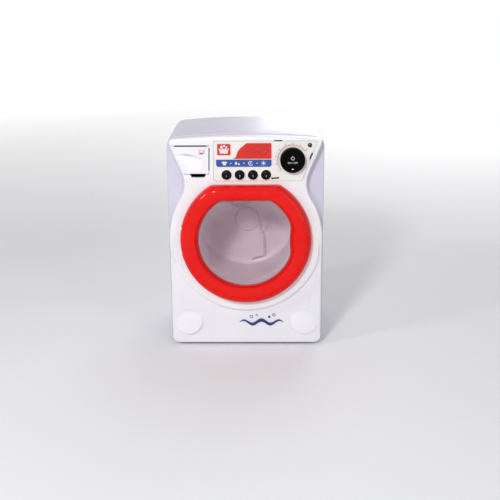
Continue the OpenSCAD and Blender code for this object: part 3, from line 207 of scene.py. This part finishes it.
innerLook = {"colour": (0.72, 0.72, 0.73), "shade": (0.69, 0.69, 0.70), "rough": 0.48}
gearLook = {"colour": (0.78, 0.77, 0.72), "shade": (0.74, 0.73, 0.68), "rough": 0.38, "glow": 0.1}
rubberLook = {"colour": (0.022, 0.022, 0.024), "shade": (0.03, 0.03, 0.032), "rough": 0.75, "grain": 0.3,
              "peel": 0.03}
padLook = {"colour": (0.17, 0.18, 0.19), "shade": (0.15, 0.155, 0.165), "rough": 0.68, "peel": 0.02}
switchLook = {"colour": (0.02, 0.05, 0.16), "shade": (0.018, 0.042, 0.14), "rough": 0.42}
speakerLook = {"colour": (0.018, 0.017, 0.016), "shade": (0.03, 0.028, 0.026), "rough": 0.8, "flow": 5,
               "grain": 0.6, "peel": 0.05}
steelLook = {"colour": (0.56, 0.57, 0.58), "shade": (0.47, 0.48, 0.49), "rough": 0.3, "lines": (1, 1, 14)}
canLook = {"colour": (0.52, 0.53, 0.55), "shade": (0.45, 0.46, 0.48), "rough": 0.34, "lines": (6, 1, 6)}
brassLook = {"colour": (0.66, 0.46, 0.17), "shade": (0.55, 0.36, 0.12), "rough": 0.3, "lines": (1, 9, 1)}
bronzeLook = {"colour": (0.42, 0.27, 0.11), "shade": (0.33, 0.2, 0.08), "rough": 0.42, "lines": (1, 6, 1)}
nickelLook = {"colour": (0.66, 0.66, 0.65), "shade": (0.6, 0.6, 0.58), "rough": 0.2, "lines": (1, 10, 1)}

whiteShell = plastic("white shell", shellLook)
lavenderShell = plastic("lavender shell", rearLook)
creamPanel = plastic("cream panel", panelLook)
redRing = plastic("red ring", ringLook)
drumPlastic = plastic("drum plastic", drumLook)
blackGloss = plastic("black button", blackLook)
knobBlack = plastic("black knob", knobLook)
innerWhite = plastic("inner white", innerLook)
gearWhite = plastic("gear white", gearLook)
footRubber = plastic("foot rubber", rubberLook)
padRubber = plastic("pad rubber", padLook)
switchBlue = plastic("switch blue", switchLook)
speakerBlack = plastic("speaker cone", speakerLook)
steel = metal("steel", steelLook)
motorCan = metal("motor can", canLook)
brass = metal("pinion brass", brassLook)
bronze = metal("sintered bronze", bronzeLook)
nickel = metal("nickel spring", nickelLook)

inkColours = {"red": (0.69, 0.022, 0.012), "deepRed": (0.36, 0.008, 0.008), "blue": (0.022, 0.085, 0.36),
              "white": (0.82, 0.81, 0.80), "rose": (0.60, 0.10, 0.14), "navy": (0.016, 0.04, 0.19),
              "grey": (0.32, 0.31, 0.33), "sleeve": (0.62, 0.25, 0.02)}
inks = {name: ink("ink " + name, colour) for name, colour in inkColours.items()}


# Clear domed window: a thin smoky sheet, denser towards its moulded rim, where a lighter colour is a painted reflection
# of the dome's gloss
windowLook = {"tint": (0.30, 0.22, 0.25), "rim": (0.60, 0.50, 0.54), "alpha": 0.09, "rimSheenAlpha": 0.26,
              "centre": (hubFace["x"], hubFace["z"]), "inner": 44, "outer": 58}


def clearWindow(look):
    finish = Finish("clear window", {"Coat Weight": 0.3, "Coat Roughness": 0.03, "IOR": 1.49, "Specular IOR Level": 0.3})
    moved = finish.node("ShaderNodeMapping", {"vector_type": "TEXTURE"},
                        {"Vector": finish.place, "Location": (look["centre"][0] * mm, 0, look["centre"][1] * mm)})
    flat = finish.node("ShaderNodeVectorMath", {"operation": "MULTIPLY"}, [moved, (1, 0, 1)])
    away = finish.node("ShaderNodeVectorMath", {"operation": "LENGTH"}, {0: flat}, "Value")
    # The rim mask paints a reflection: lighter colour and more opacity towards the edge, where the dome's gloss grows
    rim = finish.ramp(away, look["inner"] * mm, look["outer"] * mm)
    smear = finish.noise(26, 3.0)
    finish.paint("Base Color", finish.mix(rim, rgba(look["tint"]), rgba(look["rim"])))
    finish.paint("Alpha", look["alpha"] + rim * (look["rimSheenAlpha"] - look["alpha"]) + (smear - 0.5) * 0.06)
    finish.paint("Roughness", 0.05 + smear * 0.05)
    return finish.material


# Dark red lamp body: clear enough to look deep, its colour clouded at random between two dark reds
def lampRed():
    finish = Finish("lamp red", {"Coat Weight": 0.2, "IOR": 1.5, "Specular IOR Level": 0.3})
    cloud = finish.noise(2.2, 2.0)
    finish.paint("Base Color", finish.mix(finish.ramp(cloud, 0.3, 0.7), (0.030, 0.003, 0.004, 1), (0.060, 0.004, 0.005, 1)))
    finish.paint("Roughness", 0.12 + cloud * 0.08)
    return finish.material


# Circuit board: solder mask over copper tracks
def boardGreen():
    finish = Finish("board green", {"IOR": 1.5, "Coat Weight": 0.4, "Coat Roughness": 0.1})
    tracks = finish.node("ShaderNodeTexBrick", {}, {"Vector": finish.place, "Scale": 260.0, "Mortar Size": 0.12}, "Fac")
    finish.paint("Base Color", finish.mix(tracks, (0.006, 0.075, 0.024, 1), (0.012, 0.14, 0.045, 1)))
    finish.paint("Roughness", 0.32 + tracks * 0.08)
    finish.bump(tracks, 0.03, 0.5)
    return finish.material


# Cell sleeve: a plain two-colour wrap with a bright band near the positive end
cellLook = {"dark": (0.014, 0.015, 0.02, 1), "band": (0.58, 0.26, 0.04, 1), "bandFrom": 9.0, "bandTo": 24.5}


def cellSleeve(look):
    finish = Finish("cell sleeve", {"IOR": 1.5, "Coat Weight": 0.5})
    along = finish.node("ShaderNodeSeparateXYZ", {}, {"Vector": finish.place}, "X")
    band = finish.ramp(along, look["bandFrom"] * mm, (look["bandFrom"] + 0.4) * mm)
    finish.paint("Base Color", finish.mix(band, look["dark"], look["band"]))
    scuff = finish.noise(3.0, 3.0)
    finish.paint("Roughness", 0.26 + scuff * 0.12)
    return finish.material


windowClear = clearWindow(windowLook)
lamp = lampRed()
board = boardGreen()
sleeve = cellSleeve(cellLook)

finishes = {
    "front_shell": whiteShell, "rear_shell": lavenderShell, "battery_cover": lavenderShell, "feet": footRubber,
    "control_panel": creamPanel, "detergent_drawer": whiteShell, "drawer_housing": innerWhite,
    "button_1": blackGloss, "button_2": blackGloss, "button_3": blackGloss, "button_4": blackGloss,
    "button_pad": padRubber, "control_board": board, "selector_knob": knobBlack, "knob_shaft": steel,
    "rotary_switch": switchBlue, "indicator_led": lamp, "speaker": speakerBlack, "drum": drumPlastic,
    "agitator": drumPlastic, "hub_cap": drumPlastic, "drum_shaft": steel, "drum_bush": bronze,
    "drum_bracket": innerWhite, "drum_gear": gearWhite, "reduction_gear": gearWhite, "reduction_pin": steel,
    "gear_cover": innerWhite, "motor_mount": steel, "motor": motorCan, "motor_shaft": steel,
    "motor_pinion": brass, "door_ring": redRing, "door_window": windowClear, "door_inner_ring": redRing,
    "door_hinge_pins": steel, "battery_box": innerWhite, "batteries": sleeve, "battery_contacts": nickel,
    "battery_cover_screw": steel, "housing_screws": steel, "door_screws": steel, "board_screws": steel,
    "gearbox_screws": steel,
}


# Smooth shading up to an angle, with the flat faces keeping their own normals
def smoothed(obj, angle=32):
    obj.data.polygons.foreach_set("use_smooth", [True] * len(obj.data.polygons))
    weld = obj.modifiers.new("weld", "WELD")
    weld.merge_threshold = 0.004 * mm
    split = obj.modifiers.new("split", "EDGE_SPLIT")
    split.split_angle = math.radians(angle)
    normals = obj.modifiers.new("normals", "WEIGHTED_NORMAL")
    normals.keep_sharp = True


for name, finish in finishes.items():
    nodes[name].data.materials.clear()
    nodes[name].data.materials.append(finish)
    smoothed(nodes[name])
print("finishes on:", len(finishes), "nodes")


# Flat prints, drawn in the front view as loops of (x, z) in mm; an inner loop makes a hole
film = 0.05


def arc(cx, cz, r, start, end, steps):
    turn = [math.radians(start + (end - start) * k / steps) for k in range(steps + 1)]
    return [(cx + r * math.cos(a), cz + r * math.sin(a)) for a in turn]


def disc(cx, cz, r, steps=32):
    return [arc(cx, cz, r, 0, 360 - 360 / steps, steps - 1)]


def ring(cx, cz, r, width, steps=40):
    return disc(cx, cz, r, steps) + disc(cx, cz, r - width, steps)


def band(cx, cz, r, width, start, end, steps=32):
    return [arc(cx, cz, r, start, end, steps) + arc(cx, cz, r - width, end, start, steps)]


def block(x0, z0, x1, z1, corners=(0.8, 0.8, 0.8, 0.8)):
    low1, low2, high2, high1 = corners
    return [arc(x0 + low1, z0 + low1, low1, 180, 270, 6) + arc(x1 - low2, z0 + low2, low2, 270, 360, 6)
            + arc(x1 - high2, z1 - high2, high2, 0, 90, 6) + arc(x0 + high1, z1 - high1, high1, 90, 180, 6)]


def drop(cx, cz, size):
    turn = [2 * math.pi * k / 36 for k in range(36)]
    return [[(cx + size * 0.95 * math.sin(a) * math.sin(a / 2) ** 1.6, cz + size * math.cos(a)) for a in turn]]


def pointer(cx, cz, size):
    return [[(cx - size, cz + size * 0.35), (cx, cz + size * 0.35), (cx, cz + size), (cx + size, cz),
             (cx, cz - size), (cx, cz - size * 0.35), (cx - size, cz - size * 0.35)]]


# A mesh from filled loops: it stands off the surface by layer films and follows depth(x, z)
def printed(name, loops, y, finish, body, layer=1, depth=None):
    curve = bpy.data.curves.new(name, "CURVE")
    curve.dimensions = "2D"
    curve.fill_mode = "BOTH"
    curve.extrude = film * mm / 2
    for loop in loops:
        spline = curve.splines.new("POLY")
        spline.points.add(len(loop) - 1)
        for point, (x, z) in zip(spline.points, loop):
            point.co = (x * mm, z * mm, 0, 1)
        spline.use_cyclic_u = True
    return laid(name, curve, y, finish, body, layer, depth)


def laid(name, curve, y, finish, body, layer, depth):
    source = bpy.data.objects.new(name + "_curve", curve)
    bpy.context.scene.collection.objects.link(source)
    drawn = source.evaluated_get(bpy.context.evaluated_depsgraph_get())
    mesh = bpy.data.meshes.new_from_object(drawn)
    bpy.data.objects.remove(source)
    mesh.name = name
    mesh.transform(Matrix.Rotation(math.radians(90), 4, "X"))
    mesh.transform(Matrix.Translation((0, (y - film * (layer - 0.5)) * mm, 0)))
    if depth:
        for vertex in mesh.vertices:
            vertex.co.y += depth(vertex.co.x / mm, vertex.co.z / mm) * mm
    mesh.materials.clear()
    mesh.materials.append(finish)
    piece = bpy.data.objects.new(name, mesh)
    bpy.context.scene.collection.objects.link(piece)
    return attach(piece, body)


def lettered(name, text, x, z, size, y, finish, body, layer=1, turn=0.0, depth=None):
    words = bpy.data.curves.new(name, "FONT")
    words.body = text
    words.size = size * mm
    words.align_x = "CENTER"
    words.align_y = "CENTER"
    words.extrude = film * mm / 2
    source = bpy.data.objects.new(name + "_text", words)
    bpy.context.scene.collection.objects.link(source)
    bpy.context.view_layer.update()
    mesh = bpy.data.meshes.new_from_object(source.evaluated_get(bpy.context.evaluated_depsgraph_get()))
    bpy.data.objects.remove(source)
    mesh.transform(Matrix.Rotation(math.radians(turn), 4, "Z"))
    mesh.transform(Matrix.Translation((x * mm, z * mm, 0)))
    mesh.transform(Matrix.Rotation(math.radians(90), 4, "X"))
    mesh.transform(Matrix.Translation((0, (y - film * (layer - 0.5)) * mm, 0)))
    if depth:
        for vertex in mesh.vertices:
            vertex.co.y += depth(vertex.co.x / mm, vertex.co.z / mm) * mm
    mesh.materials.clear()
    mesh.materials.append(finish)
    piece = bpy.data.objects.new(name, mesh)
    bpy.context.scene.collection.objects.link(piece)
    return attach(piece, body)


# Printed label on the panel: badge, foam field with bubbles, blue strip with four steps of a wash
label = {"y": panelFace["y"], "left": -33.5, "right": 30.0, "top": 250.3, "low": 223.0, "strip": 231.2,
         "badge": (-32.0, 236.6, -17.0, 249.4), "bubbles": 26, "seed": 7}


def foamField(look):
    left, right, low, top = -15.5, look["right"], look["strip"] + 1.1, look["top"]
    rise = []
    for k in range(41):
        t = k / 40
        swell = t * t * (3 - 2 * t)
        rise.append((left + 17 * t + 1.1 * math.sin(t * math.pi * 3), low + (top - low) * swell))
    return [[(right, low)] + rise[:1] + rise[1:-1] + [(2.2, top)]
            + arc(right - 1.2, top - 1.2, 1.2, 90, 0, 6)]


def makeLabel(look):
    printed("label_badge", block(*look["badge"]), look["y"], inks["red"], "housing")
    x, z = (look["badge"][0] + look["badge"][2]) / 2, (look["badge"][1] + look["badge"][3]) / 2
    tub = [[(x - 5.2, z - 0.4), (x - 4.2, z - 4.6), (x + 4.2, z - 4.6), (x + 5.2, z - 0.4)]]
    rim = block(x - 6, z + 0.1, x + 6, z + 1.2, (0.5,) * 4)
    suds = disc(x - 2.6, z + 3.2, 1.5) + disc(x + 0.6, z + 4.2, 1.2) + disc(x + 3.1, z + 2.9, 1.0)
    printed("label_badge_tub", tub + rim + suds, look["y"], inks["white"], "housing", 2)
    printed("label_foam_field", foamField(look), look["y"], inks["red"], "housing")
    rng = random.Random(look["seed"])
    dots = []
    while len(dots) < look["bubbles"]:
        bx, bz, r = rng.uniform(0, 28), rng.uniform(234, 248.5), rng.uniform(0.5, 1.5)
        inside = bx > 3 - (248 - bz) * 0.7 + r
        if inside and all(math.hypot(bx - d[0], bz - d[1]) > r + d[2] + 0.45 for d in dots):
            dots.append((bx, bz, r))
    loops = [loop for d in dots for loop in (ring(*d, 0.35, 24) if d[2] > 0.8 else disc(*d, 16))]
    printed("label_bubbles", loops, look["y"], inks["deepRed"], "housing", 2)
    blue = block(look["left"], look["low"], look["right"], look["strip"], (2.6, 2.6, 0.3, 0.3))
    printed("label_strip", blue, look["y"], inks["blue"], "housing")


def makeSteps(look):
    z, size = (look["low"] + look["strip"]) / 2, 2.6
    stops = [look["left"] + 9.5 + 15 * k for k in range(4)]
    x = stops[0]
    shirt = [[(x - 1.2, z + 2.2), (x - 3.4, z + 1.0), (x - 2.6, z - 0.3), (x - 1.6, z + 0.2), (x - 1.6, z - 2.4),
              (x + 1.6, z - 2.4), (x + 1.6, z + 0.2), (x + 2.6, z - 0.3), (x + 3.4, z + 1.0), (x + 1.2, z + 2.2),
              (x, z + 1.5)]]
    x = stops[1]
    drops = drop(x - 1.5, z + 0.3, 2.0) + drop(x + 1.7, z - 0.7, 1.4)
    x = stops[2]
    spin = band(x, z, size, 0.75, 30, 300) + pointer(x + 1.9, z - 1.9, 0.9) + disc(x, z, 0.8, 20)
    x = stops[3]
    rays = [arc(x, z, 2.8, 45 * k - 6, 45 * k + 6, 2) + arc(x, z, 1.9, 45 * k + 8, 45 * k - 8, 2) for k in range(8)]
    sun = disc(x, z, 1.3, 24) + rays
    marks = [loop for a, b in zip(stops, stops[1:]) for loop in pointer((a + b) / 2, z, 0.9)]
    printed("label_steps", shirt + drops + spin + sun + marks, look["y"], inks["white"], "housing", 2)


makeLabel(label)
makeSteps(label)

# Dial scale round the knob: an open arc, ticks and plain numbers
dial = {"x": knobFace["x"], "z": knobFace["z"], "y": panelFace["y"], "r": 17.3, "width": 0.35, "from": 36, "to": 222, "numbers": 8,
        "digit": 2.6, "digitR": 19.6}


def makeDial(look):
    loops = band(look["x"], look["z"], look["r"], look["width"], look["from"], look["to"], 64)
    spread = look["to"] - look["from"]
    for k in range(2 * look["numbers"] - 1):
        a = look["from"] + spread * k / (2 * look["numbers"] - 2)
        reach = 1.1 if k % 2 == 0 else 0.6
        loops += band(look["x"], look["z"], look["r"] + reach, reach - 0.1, a - 0.7, a + 0.7, 2)
    printed("dial_scale", loops, look["y"], inks["rose"], "housing")
    for k in range(look["numbers"]):
        a = math.radians(look["to"] - spread * k / (look["numbers"] - 1))
        x, z = look["x"] + look["digitR"] * math.cos(a), look["z"] + look["digitR"] * math.sin(a)
        lettered("dial_number_%d" % (k + 1), str(k + 1), x, z, look["digit"], look["y"], inks["rose"], "housing")


makeDial(dial)

# Marks on the knob: ring symbol, ON / OFF and a small arrow at the foot
knob = {"x": knobFace["x"], "z": knobFace["z"], "face": knobFace["y"] + 0.5}


def makeKnobMarks(look):
    x, z = look["x"], look["z"]
    loops = band(x, z + 2.9, 2.1, 0.5, 125, 415, 32) + block(x - 0.25, z + 3.7, x + 0.25, z + 5.8, (0.2,) * 4)
    loops += [[(x - 1.1, z - 10.2), (x + 1.1, z - 10.2), (x, z - 8.4)]]
    printed("knob_marks", loops, look["face"], inks["white"], "knob")
    lettered("knob_on_off", "ON / OFF", x, z - 2.4, 2.7, look["face"], inks["white"], "knob")


makeKnobMarks(knob)

# Numbers on the domed buttons
button = {"r": 5.0, "rise": 2.4, "digit": 3.0, "below": 0.9}


def makeButtonMarks(look):
    for k, cap in enumerate(buttonFace):

        def dome(px, pz, cap=cap):
            share = min(1.0, math.hypot(px - cap["x"], pz - cap["z"]) / look["r"])
            return look["rise"] * (1 - math.sqrt(1 - share * share))
        lettered("button_number_%d" % (k + 1), str(k + 1), cap["x"], cap["z"] - look["below"], look["digit"], cap["y"],
                 inks["white"], "button_%d_cap" % (k + 1), depth=dome)


makeButtonMarks(button)

# Small measuring cup printed on the drawer
drawer = {"y": drawerFace["y"], "x": -50.4, "z": 239.6}


def makeDrawerMark(look):
    x, z = look["x"], look["z"]
    cup = [[(x - 3.0, z + 2.6), (x - 2.2, z - 2.6), (x + 2.2, z - 2.6), (x + 3.0, z + 2.6)],
           [(x - 2.4, z + 2.1), (x - 1.75, z - 2.1), (x + 1.75, z - 2.1), (x + 2.4, z + 2.1)]]
    fill = [[(x - 2.0, z - 0.2), (x - 1.5, z - 1.8), (x + 1.5, z - 1.8), (x + 2.0, z - 0.2)]]
    handle = band(x + 2.7, z + 0.2, 1.7, 0.5, -80, 80, 16)
    printed("drawer_cup_mark", cup + fill + handle, look["y"], inks["rose"], "drawer")


makeDrawerMark(drawer)

# Wave and bubbles on the lower front
wave = {"y": lowerY, "x0": -9.0, "x1": 45.0, "z": 30.0, "height": 5.2, "swell": 2.6}


def makeWave(look):
    steps, upper, lower = 72, [], []
    for k in range(steps + 1):
        t = k / steps
        x = look["x0"] + (look["x1"] - look["x0"]) * t
        mid = look["z"] + look["swell"] * math.sin(2 * math.pi * 2.5 * t)
        half = look["height"] / 2 * math.sin(math.pi * t) ** 0.7
        upper.append((x, mid + half))
        lower.append((x, mid - half * 0.7))
    loops = [upper + lower[-2:0:-1]]
    loops += ring(6, 37.5, 2.0, 0.6) + ring(12.4, 39.4, 1.3, 0.45) + disc(27.4, 37.0, 1.5) + ring(33, 39.6, 1.9, 0.6)
    printed("front_wave", loops, look["y"], inks["navy"], "housing")


makeWave(wave)
print("prints laid")

# Floor and light: pale paper that fades into a white surround, a key from the upper left and soft fills
stageLook = {"floor": 6.0, "colour": (0.84, 0.84, 0.85), "fadeFrom": 0.5, "fadeTo": 1.9, "world": (0.95, 0.95, 1.0),
             "worldStrength": 0.30}


def makeFloor(look):
    half = look["floor"] / 2
    mesh = bpy.data.meshes.new("floor")
    mesh.from_pydata([(-half, -half, 0), (half, -half, 0), (half, half, 0), (-half, half, 0)], [], [(0, 1, 2, 3)])
    floor = bpy.data.objects.new("floor", mesh)
    bpy.context.scene.collection.objects.link(floor)
    finish = Finish("floor paper", {})
    fibre = finish.noise(2.0, 4.0)
    lighter = tuple(min(1.0, c * 1.03) for c in look["colour"])
    finish.paint("Base Color", finish.mix(fibre, rgba(look["colour"]), rgba(lighter)))
    finish.paint("Roughness", 0.75 + fibre * 0.1)
    away = finish.node("ShaderNodeVectorMath", {"operation": "LENGTH"}, {0: finish.place}, "Value")
    finish.paint("Alpha", 1 - finish.ramp(away, look["fadeFrom"], look["fadeTo"]))
    mesh.materials.append(finish.material)


def makeWorld(look):
    world = bpy.data.worlds.new("surround")
    bpy.context.scene.world = world
    world.use_nodes = True
    tree = world.node_tree
    soft = tree.nodes["Background"]
    soft.inputs["Color"].default_value = rgba(look["world"])
    soft.inputs["Strength"].default_value = look["worldStrength"]
    white = tree.nodes.new("ShaderNodeBackground")
    white.inputs["Color"].default_value = (1, 1, 1, 1)
    rays = tree.nodes.new("ShaderNodeLightPath")
    seen = rays.outputs["Is Camera Ray"]
    for kind in ("Is Glossy Ray", "Is Transmission Ray"):
        either = tree.nodes.new("ShaderNodeMath")
        either.operation = "MAXIMUM"
        tree.links.new(seen, either.inputs[0])
        tree.links.new(rays.outputs[kind], either.inputs[1])
        seen = either.outputs[0]
    choose = tree.nodes.new("ShaderNodeMixShader")
    tree.links.new(seen, choose.inputs[0])
    tree.links.new(soft.outputs[0], choose.inputs[1])
    tree.links.new(white.outputs[0], choose.inputs[2])
    tree.links.new(choose.outputs[0], tree.nodes["World Output"].inputs["Surface"])


lamps = {
    "key": {"at": (-0.40, -1.40, 0.92), "size": (0.2, 0.2), "watts": 12.5},
    "glintLeft": {"at": (-1.07, -0.70, 0.90), "size": (0.14, 0.14), "watts": 3},
    "glintRight": {"at": (0.76, -1.11, 0.84), "size": (0.08, 0.08), "watts": 0.9},
    "fill": {"at": (1.2, -1.2, 0.5), "size": (0.8, 0.8), "watts": 2},
    "top": {"at": (0.1, 0.5, 1.4), "size": (0.9, 0.9), "watts": 3},
    "back": {"at": (0.5, 1.7, 0.6), "size": (1.0, 0.8), "watts": 9},
}


def makeLamp(name, look):
    light = bpy.data.lights.new(name, "AREA")
    light.shape = "RECTANGLE"
    light.size, light.size_y = look["size"]
    light.energy = look["watts"]
    lampObject = bpy.data.objects.new(name, light)
    bpy.context.scene.collection.objects.link(lampObject)
    target = Matrix.Translation((0, 0, 0.12)).to_translation()
    away = target - Matrix.Translation(look["at"]).to_translation()
    lampObject.location = look["at"]
    lampObject.rotation_euler = away.to_track_quat("-Z", "Y").to_euler()


makeFloor(stageLook)
makeWorld(stageLook)
for name, look in lamps.items():
    makeLamp(name, look)

# Camera of the photograph: right, up and forward are its axes in the object's frame
eye = {"at": (0.0213, frontY * mm - 1.0748, 0.4499), "right": (0.99989, 0.01346, -0.00624), "up": (0.00205, 0.29110, 0.95669),
       "forward": (-0.01470, 0.95660, -0.29104), "focalPixels": 952, "framePixels": 500, "sensor": 36.0}


def makeCamera(look):
    data = bpy.data.cameras.new("photo camera")
    data.sensor_width = look["sensor"]
    data.lens = look["focalPixels"] / look["framePixels"] * look["sensor"]
    camera = bpy.data.objects.new("photo camera", data)
    bpy.context.scene.collection.objects.link(camera)
    back = tuple(-c for c in look["forward"])
    axes = Matrix((look["right"], look["up"], back)).transposed().to_4x4()
    camera.matrix_world = Matrix.Translation(look["at"]) @ axes
    bpy.context.scene.camera = camera


makeCamera(eye)
bpy.context.scene.view_settings.view_transform = "Standard"
print("camera and light set")
